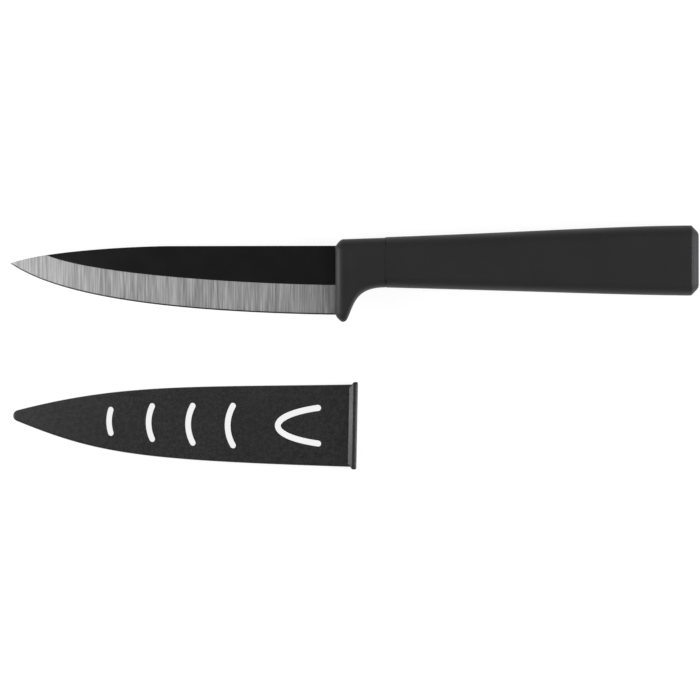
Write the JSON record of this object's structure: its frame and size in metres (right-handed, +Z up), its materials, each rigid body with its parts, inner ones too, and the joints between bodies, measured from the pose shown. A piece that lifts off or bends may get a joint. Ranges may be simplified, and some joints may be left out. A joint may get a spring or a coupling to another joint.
{
  "type": "kitchen knife",
  "caption": "Small kitchen knife with a black-coated blade, bare ground edge and moulded handle with a finger guard, beside its slotted slip-on sheath.",
  "frame": {"origin": "middle of the grip's flat underside, on the surface that the knife lies on", "axes": "+X along the handle from the blade's tip to the butt, +Y from the cutting edge to the spine, +Z up out of the blade's flat"},
  "size_m": [0.2116, 0.0753, 0.014],
  "materials": {
    "coated_steel": "smooth black non-stick coating, bare ground steel along the edge",
    "guard_plastic": "black, satin",
    "grip_plastic": "black, soft matt",
    "core_plastic": "dark grey, as moulded",
    "sheath_plastic": "black, fine spark-eroded grain"
  },
  "bodies": {
    "knife": {"blade": "coated_steel", "bolster_guard": "guard_plastic", "handle_core": "core_plastic", "grip_shell": "grip_plastic", "butt_cap": "guard_plastic"},
    "sheath": {"sheath_front_wall": "sheath_plastic", "sheath_back_wall": "sheath_plastic", "sheath_edge_band": "sheath_plastic"},
    "front_tongue": {"sheath_front_tongue": "sheath_plastic"},
    "back_tongue": {"sheath_back_tongue": "sheath_plastic"}
  },
  "joints": [
    {"name": "sheath_draw", "type": "slide", "parent": "knife", "child": "sheath", "axis": [-1, 0, 0], "range_m": [0, 0.112]},
    {"name": "front_tongue_flex", "type": "hinge", "parent": "sheath", "child": "front_tongue", "pos_m": [-0.06777, -0.05045, 0.00506], "axis": [0, 1, 0], "range_deg": [-2, 3], "stiffness_Nm_per_rad": 0.002},
    {"name": "back_tongue_flex", "type": "hinge", "parent": "sheath", "child": "back_tongue", "pos_m": [-0.06773, -0.05045, 0.00136], "axis": [0, -1, 0], "range_deg": [-2, 3], "stiffness_Nm_per_rad": 0.002}
  ]
}
